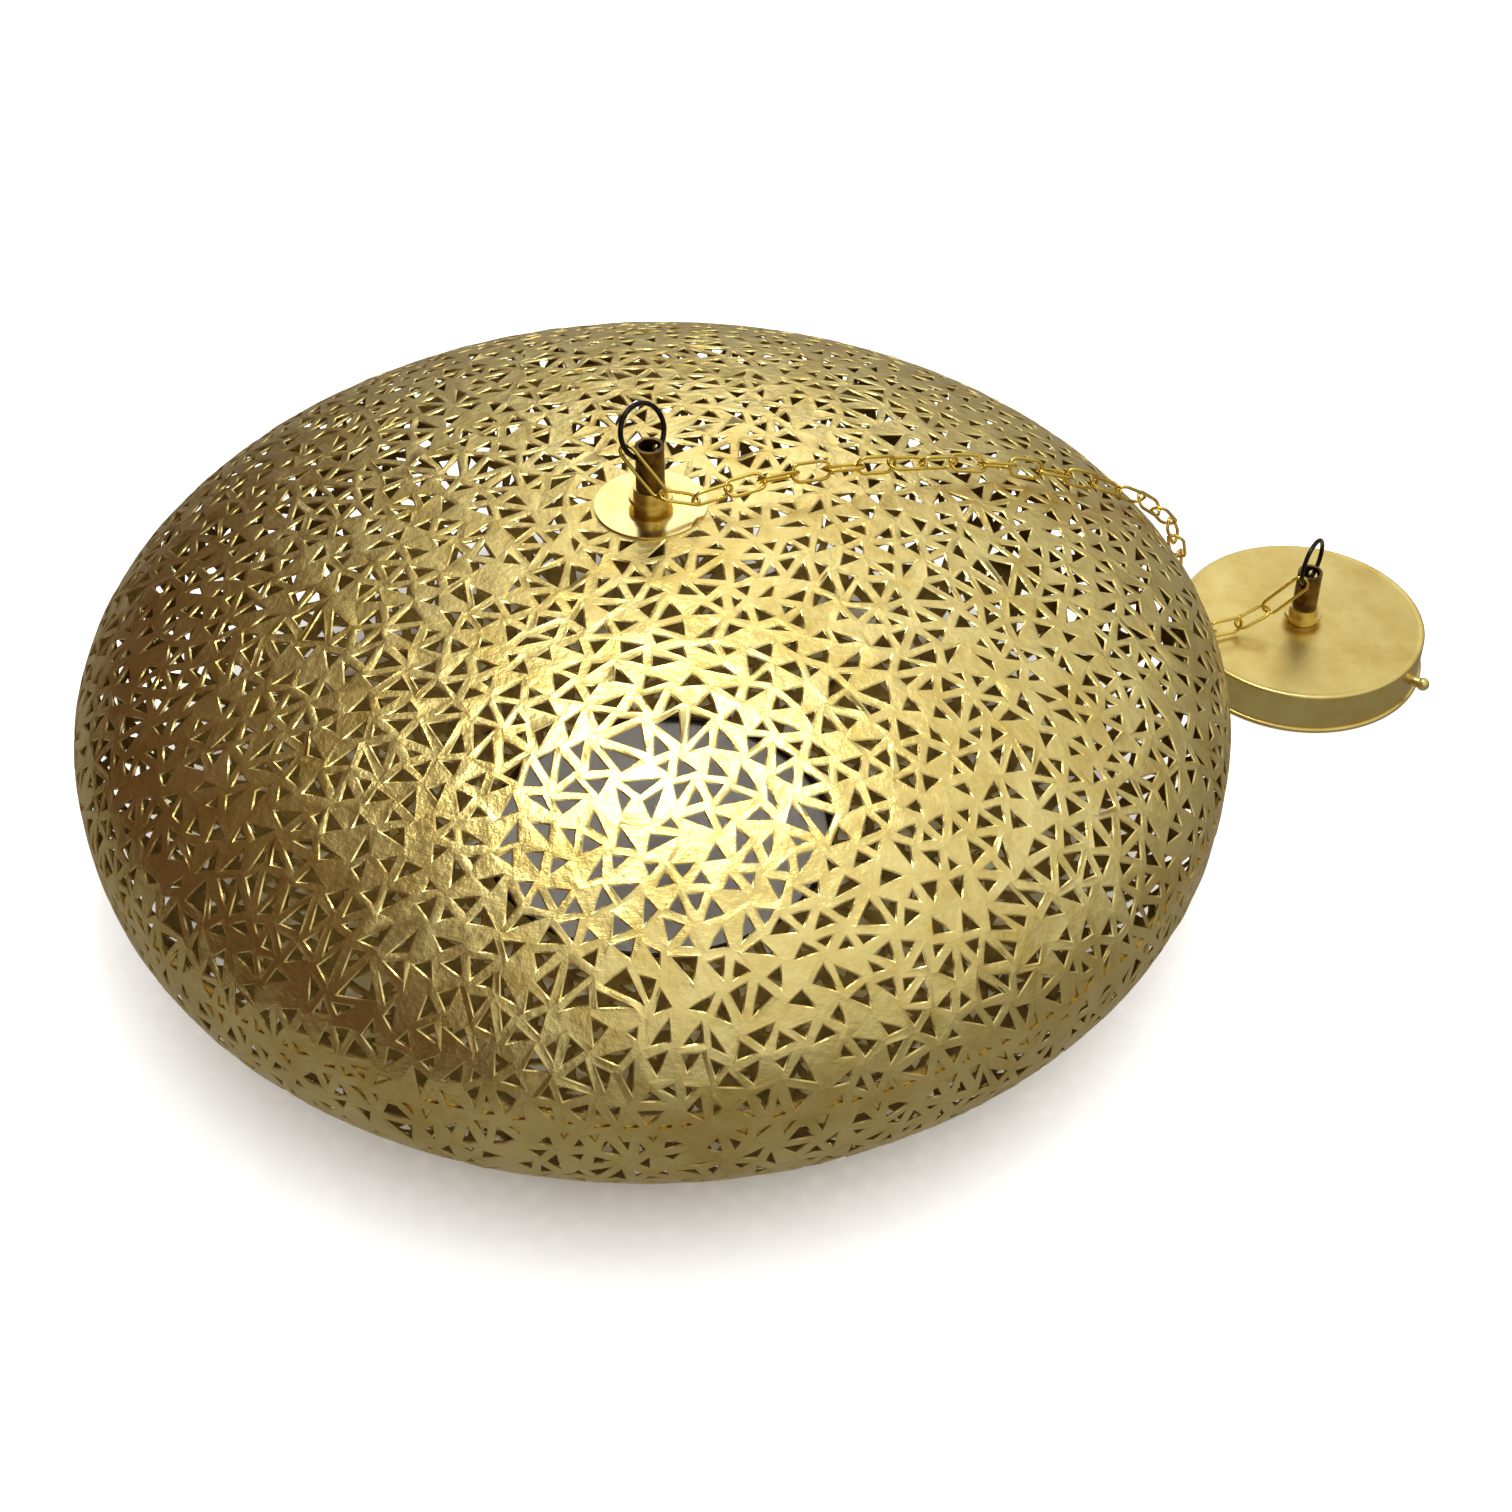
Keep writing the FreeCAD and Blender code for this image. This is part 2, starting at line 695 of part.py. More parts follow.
def make_ceiling_bracket():
    """Steel strap with two turned-up, tapped tabs, a wire hole and two holes for ceiling screws."""
    strap = doc.addObject("Part::Box", "bracket_strap")
    strap.Length = 2 * tab_face()
    strap.setExpression("Width", "Sizes.bracket_width")
    strap.setExpression("Height", "Sizes.bracket_thick")
    turn = Rotation(Vector(0, 0, 1), size("bracket_azimuth"))
    centre = Placement(Vector(placed("canopy_x"), placed("canopy_y"), 0), turn)
    half_width = size("bracket_width") / 2
    strap.Placement = centre * Placement(Vector(-tab_face(), -half_width, 0), Rotation())
    pieces = [strap]
    for name, start in (("left", -tab_face()), ("right", tab_face() - size("bracket_thick"))):
        tab = doc.addObject("Part::Box", "bracket_tab_" + name)
        tab.setExpression("Length", "Sizes.bracket_thick")
        tab.setExpression("Width", "Sizes.bracket_width")
        tab.setExpression("Height", "Sizes.tab_height")
        tab.Placement = centre * Placement(Vector(start, -half_width, 0), Rotation())
        pieces.append(tab)
    holes = []
    for name, along, radius in (
        ("wire_hole", 0, "Sizes.wire_hole_radius"),
        ("ceiling_hole_left", -size("ceiling_hole_circle") / 2, "Sizes.ceiling_hole_radius"),
        ("ceiling_hole_right", size("ceiling_hole_circle") / 2, "Sizes.ceiling_hole_radius"),
        ("earth_hole", -size("earth_offset"), "Sizes.screw_radius + Sizes.screw_gap"),
    ):
        hole = doc.addObject("Part::Cylinder", name)
        hole.setExpression("Radius", radius)
        hole.setExpression("Height", "Sizes.bracket_thick")
        holes.append(on_canopy(hole, along))
    tapped = doc.addObject("Part::Cylinder", "tab_threads")
    tapped.setExpression("Radius", "Sizes.screw_radius + Sizes.screw_gap")
    tapped.setExpression("Height", "4 * Sizes.canopy_radius")
    tapped.Placement = across_canopy(-2 * size("canopy_radius"))
    keep("ceiling_bracket", cut("ceiling_bracket", joined("bracket_blank", pieces), holes + [tapped]))


def make_side_screw(label, turn):
    """Side screw with a ball head: it holds the cover on the bracket's tab."""
    start = tab_face() - size("bracket_thick") - size("screw_tip")
    seat = size("canopy_radius")
    shank = doc.addObject("Part::Cylinder", label + "_shank")
    shank.setExpression("Radius", "Sizes.screw_radius")
    shank.Height = seat - start
    shank.Placement = across_canopy(start, turn)
    neck = doc.addObject("Part::Cylinder", label + "_neck")
    neck.setExpression("Radius", "Sizes.knob_neck_radius")
    neck.setExpression("Height", "Sizes.knob_neck + Sizes.knob_radius")
    neck.Placement = across_canopy(seat, turn)
    knob = doc.addObject("Part::Sphere", label + "_knob")
    knob.setExpression("Radius", "Sizes.knob_radius")
    knob.Placement = across_canopy(seat + size("knob_neck") + size("knob_radius"), turn)
    keep(label, joined(label, [shank, neck, knob]))


def make_terminal_block():
    """Ceramic terminal block on the strap, one wire hole to each pole, and its brass screws."""
    base = size("bracket_thick")
    block = doc.addObject("Part::Box", "terminal_block_blank")
    block.setExpression("Length", "Sizes.block_length")
    block.setExpression("Width", "Sizes.block_width")
    block.setExpression("Height", "Sizes.block_height")
    on_canopy(block, size("block_offset") - size("block_length") / 2, base)
    half_width = size("block_width") / 2
    block.Placement = block.Placement * Placement(Vector(0, -half_width, 0), Rotation())
    poles = int(size("poles"))
    bores = []
    screws = []
    for pole in range(poles):
        along = size("block_offset") + size("block_length") * ((pole + 0.5) / poles - 0.5)
        bore = doc.addObject("Part::Cylinder", f"pole_bore_{pole + 1}")
        bore.setExpression("Radius", "Sizes.block_bore")
        bore.setExpression("Height", "2 * Sizes.block_width")
        on_canopy(bore, along, base + size("block_height") / 2)
        bore.Placement = bore.Placement * Placement(
            Vector(0, size("block_width"), 0), Rotation(Vector(1, 0, 0), 90)
        )
        bores.append(bore)
        for row, side in (("front", -1), ("rear", 1)):
            screw = doc.addObject("Part::Cylinder", f"pole_screw_{row}_{pole + 1}")
            screw.setExpression("Radius", "Sizes.block_screw_radius")
            screw.setExpression("Height", "Sizes.block_screw_height")
            on_canopy(screw, along, base + size("block_height"))
            screw.Placement = screw.Placement * Placement(
                Vector(0, side * size("block_width") / 4, 0), Rotation()
            )
            screws.append(screw)
    keep("terminal_block", cut("terminal_block", block, bores))
    keep("terminal_block_screws", joined("terminal_block_screws", screws))


def make_earth_screw():
    """Earth screw through the strap, and the cup washer under its head."""
    strap_top = size("bracket_thick")
    washer_top = strap_top + size("earth_washer")
    shank = doc.addObject("Part::Cylinder", "earth_screw_shank")
    shank.setExpression("Radius", "Sizes.screw_radius")
    shank.setExpression("Height", "Sizes.bracket_thick + Sizes.earth_washer")
    on_canopy(shank, -size("earth_offset"))
    head = doc.addObject("Part::Cylinder", "earth_screw_head")
    head.setExpression("Radius", "Sizes.earth_head_radius")
    head.setExpression("Height", "Sizes.earth_head")
    on_canopy(head, -size("earth_offset"), washer_top)
    keep("earth_screw", joined("earth_screw", [shank, head]))
    disc = doc.addObject("Part::Cylinder", "earth_washer_disc")
    disc.setExpression("Radius", "Sizes.earth_washer_radius")
    disc.setExpression("Height", "Sizes.earth_washer")
    on_canopy(disc, -size("earth_offset"), strap_top)
    hole = doc.addObject("Part::Cylinder", "earth_washer_hole")
    hole.setExpression("Radius", "Sizes.screw_radius + Sizes.screw_gap")
    hole.setExpression("Height", "Sizes.earth_washer")
    on_canopy(hole, -size("earth_offset"), strap_top)
    keep("earth_washer", cut("earth_washer", disc, [hole]))


# ---------------------------------------------------------------- chain

# The chain's route, chosen by hand: off the ring, across the plate, over the right shoulder of the
# shade, down its side and over the canopy's edge to the canopy's ring.
ROUTE = [
    (-10.4, -2.3, 218.8),
    (-2.1, -10.1, 205.3),
    (11.1, -11.4, 196.4),
    (26.0, -4.5, 195.7),
    (40.0, 1.5, 197.4),
    (68.0, 12.0, 195.2),
    (98.0, 22.0, 190.4),
    (128.0, 33.0, 182.8),
    (156.0, 43.0, 173.0),
    (182.0, 51.0, 161.6),
    (206.0, 58.0, 148.4),
    (226.5, 67.0, 132.2),
    (239.5, 77.0, 111.0),
    (245.5, 86.0, 86.0),
    (248.0, 93.0, 62.0),
    (252.0, 98.0, 43.0),
    (264.0, 102.0, 30.0),
    (278.3, 106.0, 25.5),
    (292.8, 111.0, 29.1),
    (304.9, 112.5, 37.9),
    (315.5, 112.1, 50.5),
]


def route_curve():
    """A smooth curve steered by the route's points, level with its first and last ones."""
    poles = [Vector(*point) for point in ROUTE]
    spans = len(poles) - 2
    knots = [float(i) for i in range(spans + 1)]
    repeats = [3] + [1] * (spans - 1) + [3]
    curve = Part.BSplineCurve()
    curve.buildFromPolesMultsKnots(poles, repeats, knots, False, 2)
    return curve


def next_point(curve, start, reach):
    """The curve's parameter where it has gone a straight distance from the point at start."""
    origin = curve.value(start)
    step = 0.01
    end = start
    while end < curve.LastParameter and (curve.value(end) - origin).Length < reach:
        end += step
    low = max(start, end - step)
    high = end
    for _ in range(40):
        middle = (low + high) / 2
        if (curve.value(min(middle, curve.LastParameter)) - origin).Length < reach:
            low = middle
        else:
            high = middle
    return high


def hooking_points(curve, first, pitch, count):
    """Where each pair of links meets: after the first long link, then one pitch apart."""
    at = [curve.FirstParameter, next_point(curve, curve.FirstParameter, first)]
    for _ in range(count):
        at.append(next_point(curve, at[-1], pitch))
    return [curve.value(min(p, curve.LastParameter)) for p in at]


def link_shape(length, width, wire):
    """A chain link of round wire: two straight sides and two round ends, lying along X."""
    bend = (width - wire) / 2
    half = (length - width) / 2
    sides = [
        Part.makeCylinder(wire / 2, 2 * half, Vector(-half, y, 0), Vector(1, 0, 0)) for y in (-bend, bend)
    ]
    middle = Vector(0, 0, 0)
    upright = Vector(0, 0, 1)
    ends = []
    for side in (-1, 1):
        end = Part.makeTorus(bend, wire / 2, middle, upright, 0, 360, 180)
        end.rotate(middle, upright, -90 * side)
        end.translate(Vector(side * half, 0, 0))
        ends.append(end)
    return sides[0].multiFuse([sides[1]] + ends).removeSplitter()


def placed_link(shape, start, end, roll):
    """A link lying from one meeting point to the next, rolled about its length."""
    along = (end - start).normalize()
    flat = Vector(0, 0, 1) - along * along.z
    flat.normalize()
    side = flat.cross(along)
    turn = math.radians(roll)
    normal = flat * math.cos(turn) + side * math.sin(turn)
    across = normal.cross(along)
    middle = (start + end) / 2
    copy = shape.copy()
    copy.Placement = Placement(middle, Rotation(along, across, normal, "XYZ"))
    return copy


def make_chain():
    """All the links, hooked through each other from ring to ring."""
    wire = size("chain_wire")
    width = size("link_width")
    count = int(size("link_count"))
    curve = route_curve()
    end = curve.value(curve.LastParameter)
    first = size("long_link_length") - 2 * wire
    last = size("last_link_length") - 2 * wire
    low = 0.5 * size("link_length")
    high = size("link_length")
    for _ in range(40):
        pitch = (low + high) / 2
        points = hooking_points(curve, first, pitch, count)
        if (end - points[-1]).Length > last and points[-1] != end:
            low = pitch
        else:
            high = pitch
    print(f"chain: {curve.length():.1f} mm along its route, {pitch:.2f} mm from link to link")
    long_one, small, last_one = [
        link_shape(size(length), width, wire)
        for length in ("long_link_length", "link_length", "last_link_length")
    ]
    shaped("first_long_link", placed_link(long_one, points[0], points[1], size("first_link_roll")))
    links = []
    for i in range(count):
        roll = size("small_link_roll") + size("link_twist") * i
        links.append(placed_link(small, points[i + 1], points[i + 2], roll))
    shaped("chain_links", Part.makeCompound(links))
    shaped("last_long_link", placed_link(last_one, points[-1], end, size("last_link_roll")))


def check_and_write():
    """Stops on any failed object or shape, then writes one file for each sub-part."""
    doc.recompute()
    for item in doc.Objects:
        if "Invalid" in item.State or "Error" in item.State:
            raise RuntimeError(f"{item.Label} failed: {item.State}")
    os.makedirs("parts", exist_ok=True)
    for item in nodes:
        shape = item.Shape
        if shape.isNull() or not shape.isValid() or shape.Volume <= 0:
            raise RuntimeError(f"{item.Label} has no valid solid")
        shape.exportStep(f"parts/{item.Label}.step")
    print(f"{len(nodes)} sub-parts, {sum(len(item.Shape.Solids) for item in nodes)} solids")


make_upper_shell()
make_lower_shell()
make_seam_band()
make_opening_rim()
make_top_plate()
make_hanging_set(
    "hanger",
    "Places.shade_seat",
    "Places.crown_inside",
    "Places.nut_underside - Sizes.shade_nipple_tail",
    "0",
    "0",
    "hanger_ring_azimuth",
)
make_hanging_set(
    "canopy",
    "Places.canopy_seat",
    "Places.canopy_inside",
    "Places.canopy_inside - Sizes.washer_thick - Sizes.nut_height - Sizes.canopy_nipple_tail",
    "Places.canopy_x",
    "Places.canopy_y",
    "canopy_ring_azimuth",
)
make_ring("hanger_ring", (0, 0, placed("shade_seat")), "hanger_ring_azimuth", "hanger_ring_lean")
make_ring(
    "canopy_ring",
    (placed("canopy_x"), placed("canopy_y"), placed("canopy_seat")),
    "canopy_ring_azimuth",
    "canopy_ring_lean",
)
make_holder_cap()
make_holder_shell()
make_insulator()
make_screw_sleeve()
make_centre_contact()
make_terminal_screws()
make_canopy_cover()
make_ceiling_bracket()
make_side_screw("side_screw_front", 0)
make_side_screw("side_screw_rear", 180)
make_terminal_block()
make_earth_screw()
make_chain()
check_and_write()
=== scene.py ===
"""Pierced brass pendant lantern on a pale floor, with its chain and ceiling canopy beside it.

Metres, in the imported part's own frame: +Z up, the origin on the floor under the middle of the
shade.
"""

import math
import random

import bmesh
import bpy
from mathutils import Matrix, Vector


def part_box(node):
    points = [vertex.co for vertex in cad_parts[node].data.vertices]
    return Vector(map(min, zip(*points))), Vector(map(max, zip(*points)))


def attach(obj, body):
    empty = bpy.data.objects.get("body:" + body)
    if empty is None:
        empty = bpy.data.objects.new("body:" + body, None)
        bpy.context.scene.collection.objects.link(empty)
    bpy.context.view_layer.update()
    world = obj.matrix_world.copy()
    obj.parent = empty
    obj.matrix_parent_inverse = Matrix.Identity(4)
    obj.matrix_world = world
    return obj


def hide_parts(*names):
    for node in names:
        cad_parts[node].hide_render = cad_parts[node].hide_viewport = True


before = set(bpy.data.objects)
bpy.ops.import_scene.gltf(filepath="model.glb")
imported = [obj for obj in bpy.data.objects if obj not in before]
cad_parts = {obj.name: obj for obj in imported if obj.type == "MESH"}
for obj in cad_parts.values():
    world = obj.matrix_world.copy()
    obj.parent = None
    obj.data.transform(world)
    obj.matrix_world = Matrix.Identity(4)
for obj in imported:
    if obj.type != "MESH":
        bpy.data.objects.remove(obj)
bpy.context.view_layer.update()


# ---------------------------------------------------------------- camera
# A fairly long lens in front, looking about 40 degrees down, so that the shade's whole top shows.
# The camera leans a little to one side.

CAMERA_PLACE = (0, -0.87339, 0.83558)
CAMERA_RIGHT = Vector((0.99895042, -0.04545315, 0.00566214))
CAMERA_ABOVE = Vector((0.02624218, 0.66924361, 0.74257951))

lens = bpy.data.cameras.new("camera")
lens.lens = 62.33
lens.sensor_width = 36
camera = bpy.data.objects.new("camera", lens)
bpy.context.scene.collection.objects.link(camera)
turn = Matrix((CAMERA_RIGHT, CAMERA_ABOVE, CAMERA_RIGHT.cross(CAMERA_ABOVE))).transposed()
camera.matrix_world = Matrix.Translation(CAMERA_PLACE) @ turn.to_4x4()
bpy.context.scene.camera = camera


# ---------------------------------------------------------------- chain
# Link chain of round brass wire, cut, bent and butted shut, with a longer link at each end that
# hooks into the rings. It lies over the shade's shoulder and each link is a little twisted.

ROUTE = [
    (-0.0104, -0.0023, 0.2188),
    (-0.0021, -0.0101, 0.2053),
    (0.0111, -0.0114, 0.1964),
    (0.0260, -0.0045, 0.1957),
    (0.0400, 0.0015, 0.1974),
    (0.0680, 0.0120, 0.1952),
    (0.0980, 0.0220, 0.1904),
    (0.1280, 0.0330, 0.1828),
    (0.1560, 0.0430, 0.1730),
    (0.1820, 0.0510, 0.1616),
    (0.2060, 0.0580, 0.1484),
    (0.2265, 0.0670, 0.1322),
    (0.2395, 0.0770, 0.1110),
    (0.2455, 0.0860, 0.0860),
    (0.2480, 0.0930, 0.0620),
    (0.2520, 0.0980, 0.0430),
    (0.2640, 0.1020, 0.0300),
    (0.2783, 0.1060, 0.0255),
    (0.2928, 0.1110, 0.0291),
    (0.3049, 0.1125, 0.0379),
    (0.3155, 0.1121, 0.0505),
]
CHAIN_WIRE = 0.0016
WIRE_SIDES = 10
BEND_STEPS = 9
LINK_WIDTH = 0.0092
LINK_LENGTH = 0.0192
FIRST_LENGTH = 0.028
LAST_LENGTH = 0.027
SMALL_LINKS = 27
FIRST_ROLL = 90
SMALL_ROLL = 1
ROLL_STEP = 76
LAST_ROLL = 105.7
HALVINGS = 30
UP = Vector((0, 0, 1))


def smooth_line(points):
    """Points read from the NURBS spline that the route's points steer."""
    curve = bpy.data.curves.new("chain_route", "CURVE")
    curve.dimensions = "3D"
    spline = curve.splines.new("NURBS")
    spline.points.add(len(points) - 1)
    for control, point in zip(spline.points, points):
        control.co = (*point, 1)
    spline.order_u = 3
    spline.use_endpoint_u = True
    spline.resolution_u = 24
    holder = bpy.data.objects.new("chain_route", curve)
    read = bpy.data.meshes.new_from_object(holder)
    line = [vertex.co.copy() for vertex in read.vertices]
    bpy.data.objects.remove(holder)
    return line


def step_along(line, start, place, reach):
    """The next place on the line, as (segment, share), at a straight distance from a point."""
    index, share = place
    for i in range(index, len(line) - 1):
        if (line[i + 1] - start).length < reach:
            continue
        low = share if i == index else 0.0
        high = 1.0
        for _ in range(HALVINGS):
            middle = (low + high) / 2
            if (line[i].lerp(line[i + 1], middle) - start).length < reach:
                low = middle
            else:
                high = middle
        return i, high
    return len(line) - 2, 1.0


def meeting_points(line, pitch):
    """Where each pair of links meets, from the ring to the last long link."""
    place = (0, 0.0)
    points = [line[0]]
    for reach in [FIRST_LENGTH - 2 * CHAIN_WIRE] + [pitch] * SMALL_LINKS:
        place = step_along(line, points[-1], place, reach)
        points.append(line[place[0]].lerp(line[place[0] + 1], place[1]))
    return points


def add_link(bm, length, start, end, roll):
    """One link: a round section swept round both ends, from one meeting point to the next.

    The vertices of finished links are tagged, so that the next link can tell its own.
    """
    bend = (LINK_WIDTH - CHAIN_WIRE) / 2
    half = (length - LINK_WIDTH) / 2
    section = Matrix.Translation((half, -bend, 0)) @ Matrix.Rotation(math.pi / 2, 4, "Y")
    circle = bmesh.ops.create_circle(
        bm, segments=WIRE_SIDES, radius=CHAIN_WIRE / 2, matrix=section
    )["verts"]
    outline = list(dict.fromkeys(edge for vert in circle for edge in vert.link_edges))
    for end_sign in (1, -1):
        swept = bmesh.ops.spin(
            bm, geom=outline, cent=(end_sign * half, 0, 0), axis=UP, angle=math.pi,
            steps=BEND_STEPS,
        )["geom_last"]
        drawn = bmesh.ops.extrude_edge_only(
            bm, edges=[item for item in swept if isinstance(item, bmesh.types.BMEdge)]
        )["geom"]
        tip = [item for item in drawn if isinstance(item, bmesh.types.BMVert)]
        bmesh.ops.translate(bm, verts=tip, vec=(-end_sign * 2 * half, 0, 0))
        outline = [item for item in drawn if isinstance(item, bmesh.types.BMEdge)]
        outline = [edge for edge in outline if set(edge.verts) <= set(tip)]
    verts = [vert for vert in bm.verts if not vert.tag]
    bmesh.ops.remove_doubles(bm, verts=verts, dist=CHAIN_WIRE / 100)
    verts = [vert for vert in verts if vert.is_valid]
    along = (end - start).normalized()
    flat = (UP - along * along.z).normalized()
    normal = flat * math.cos(roll) + flat.cross(along) * math.sin(roll)
    across = normal.cross(along)
    turn = Matrix((along, across, normal)).transposed().to_4x4()
    bmesh.ops.transform(bm, matrix=Matrix.Translation((start + end) / 2) @ turn, verts=verts)
    for vert in verts:
        vert.tag = True


def finished(bm, name, smooth_angle=40.0):
    """A bmesh as an object whose edges are sharp past an angle, given in degrees."""
    bmesh.ops.recalc_face_normals(bm, faces=bm.faces)
    mesh = bpy.data.meshes.new(name)
    bm.to_mesh(mesh)
    bm.free()
    mesh.polygons.foreach_set("use_smooth", [True] * len(mesh.polygons))
    mesh.set_sharp_from_angle(angle=math.radians(smooth_angle))
    piece = bpy.data.objects.new(name, mesh)
    bpy.context.scene.collection.objects.link(piece)
    return piece


def colour(text):
    """An sRGB hex colour as linear RGBA."""
    parts = [int(text[i:i + 2], 16) / 255 for i in (0, 2, 4)]
    return (*[p / 12.92 if p <= 0.04045 else ((p + 0.055) / 1.055) ** 2.4 for p in parts], 1)


def add(tree, kind, inputs=None, **settings):
    """A shader node with its settings, and its inputs filled or linked."""
    item = tree.nodes.new("ShaderNode" + kind)
    for key, value in settings.items():
        setattr(item, key, value)
    for key, value in (inputs or {}).items():
        if isinstance(value, bpy.types.NodeSocket):
            tree.links.new(value, item.inputs[key])
        else:
            item.inputs[key].default_value = value
    return item


def blank(name):
    """A new material, its tree and its shader."""
    made = bpy.data.materials.new(name)
    made.use_nodes = True
    tree = made.node_tree
    shader = tree.nodes["Principled BSDF"]
    return made, tree, shader


def brass(name, bright, dull, roughness, grain, grain_depth, stain=45.0):
    """Brass or another bare metal: pale and dull patches, and fine lines from how it was worked.

    grain is how often the lines repeat along X, Y and Z, and stain how often the patches do, per
    metre. grain_depth is the lines' height.
    """
    made, tree, shader = blank(name)
    place = add(tree, "TexCoord").outputs["Object"]
    lines = add(tree, "Mapping", {"Vector": place, "Scale": grain})
    lines = add(tree, "TexNoise", {"Vector": lines.outputs["Vector"], "Scale": 1, "Detail": 4})
    cloud = add(tree, "TexNoise", {"Vector": place, "Scale": stain, "Detail": 5, "Roughness": 0.65})
    patch = add(
        tree, "MapRange", {"Value": cloud.outputs["Fac"], "From Min": 0.35, "From Max": 0.68}
    )
    tint = add(
        tree, "Mix", {"Factor": patch.outputs["Result"], "A": colour(bright), "B": colour(dull)},
        data_type="RGBA",
    )
    tree.links.new(tint.outputs["Result"], shader.inputs["Base Color"])
    shader.inputs["Metallic"].default_value = 1
    rough = add(
        tree, "MapRange",
        {"Value": lines.outputs["Fac"], "To Min": roughness * 0.75, "To Max": roughness * 1.35},
    )
    tree.links.new(rough.outputs["Result"], shader.inputs["Roughness"])
    bump = add(
        tree, "Bump", {"Height": lines.outputs["Fac"], "Strength": 0.5, "Distance": grain_depth}
    )
    tree.links.new(bump.outputs["Normal"], shader.inputs["Normal"])
    return made


line = smooth_line(ROUTE)
last_reach = LAST_LENGTH - 2 * CHAIN_WIRE
low_pitch, high_pitch = LINK_LENGTH / 2, LINK_LENGTH
for _ in range(HALVINGS):
    pitch = (low_pitch + high_pitch) / 2
    if (line[-1] - meeting_points(line, pitch)[-1]).length > last_reach:
        low_pitch = pitch
    else:
        high_pitch = pitch
meets = meeting_points(line, pitch)
chain_bm = bmesh.new()
add_link(chain_bm, FIRST_LENGTH, meets[0], meets[1], math.radians(FIRST_ROLL))
for i in range(SMALL_LINKS):
    roll = math.radians(SMALL_ROLL + ROLL_STEP * i)
    add_link(chain_bm, LINK_LENGTH, meets[i + 1], meets[i + 2], roll)
add_link(chain_bm, LAST_LENGTH, meets[-1], line[-1], math.radians(LAST_ROLL))
chain = finished(chain_bm, "chain")
# Drawn wire, never lacquered: the deepest yellow here, with small sharp highlights.
chain.data.materials.append(
    brass("drawn_brass_wire", "EFD468", "D2AE48", 0.2, (900, 900, 900), 0.00003)
)
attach(chain, "root")
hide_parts("first_long_link", "chain_links", "last_long_link")


# ---------------------------------------------------------------- canopy cover
# Pressed from one sheet: a flat face with a slightly raised, rounded edge, a plain wall with a
# clear hole for each side screw, and a bead rolled outwards at the foot.

COVER_SHEET = 0.0008
COVER_SEGMENTS = 128
FACE_DROP = 0.0003
FACE_START = 0.004
FACE_END = 0.0032
EDGE_START = 0.0027
EDGE_RADIUS = 0.0014
BEAD_REACH = 0.0014
BEAD_HEIGHT = 0.0026
SCREW_HOLE = 0.0024
DRILL_LENGTH = 0.008

cover_low, cover_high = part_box("canopy_cover")
CANOPY_AXIS = (cover_low + cover_high) / 2
wall_radius = cover_high.x - CANOPY_AXIS.x - BEAD_REACH
nipple_low, nipple_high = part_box("canopy_nipple")
nipple_radius = (nipple_high.x - nipple_low.x) / 2
flat_radii = (
    nipple_radius, nipple_radius + FACE_START, wall_radius - FACE_END, wall_radius - EDGE_START
)
outline = [(radius, cover_high.z - FACE_DROP) for radius in flat_radii]
for degrees in range(0, 91, 15):
    slope = math.radians(degrees)
    radius = wall_radius - EDGE_RADIUS * (1 - math.sin(slope))
    outline.append((radius, cover_high.z - EDGE_RADIUS * (1 - math.cos(slope))))
for degrees in range(90, -91, -20):
    slope = math.radians(degrees)
    radius = wall_radius + BEAD_REACH * math.cos(slope)
    outline.append((radius, BEAD_HEIGHT / 2 * (1 + math.sin(slope))))
cover_bm = bmesh.new()
rail = [
    cover_bm.verts.new((CANOPY_AXIS.x + radius, CANOPY_AXIS.y, height))
    for radius, height in outline
]
edges = [cover_bm.edges.new(pair) for pair in zip(rail, rail[1:])]
bmesh.ops.spin(
    cover_bm, geom=edges, cent=(CANOPY_AXIS.x, CANOPY_AXIS.y, 0), axis=UP,
    angle=2 * math.pi, steps=COVER_SEGMENTS, use_merge=True,
)
cover = finished(cover_bm, "canopy_cover_pressed")
cover_wall = cover.modifiers.new("wall", "SOLIDIFY")
cover_wall.thickness = COVER_SHEET
cover_wall.offset = -1
drill_bm = bmesh.new()
for screw in ("side_screw_front", "side_screw_rear"):
    screw_middle = sum(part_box(screw), Vector()) / 2
    outwards = (screw_middle - CANOPY_AXIS).xy.to_3d().normalized()
    start = Vector((*(CANOPY_AXIS.xy + outwards.xy * wall_radius), screw_middle.z))
    bmesh.ops.create_cone(
        drill_bm, cap_ends=True, segments=32, radius1=SCREW_HOLE, radius2=SCREW_HOLE,
        depth=DRILL_LENGTH,
        matrix=Matrix.Translation(start) @ outwards.to_track_quat("Z", "Y").to_matrix().to_4x4(),
    )
drill = finished(drill_bm, "screw_holes")
drilling = cover.modifiers.new("drilling", "BOOLEAN")
drilling.object = drill
evaluated = cover.evaluated_get(bpy.context.evaluated_depsgraph_get())
drilled = bpy.data.meshes.new_from_object(evaluated)
drilled.set_sharp_from_angle(angle=math.radians(40))
cover.modifiers.clear()
cover.data = drilled
bpy.data.objects.remove(drill)
# Brushed one way, in lines 0.4 mm apart, so its highlight is broad and soft.
cover.data.materials.append(
    brass("brushed_brass_plate", "E8D488", "D2B868", 0.3, (2400, 120, 500), 0.00005, 40)
)
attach(cover, "root")
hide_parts("canopy_cover")


# ---------------------------------------------------------------- shade
# Two spun brass shells, chiselled by hand while flat against pitch: each blow of the chisel cuts
# one side of a triangle, and the triangles run round in rosettes. The cut edges stand up a little.

SHEET = 0.0008

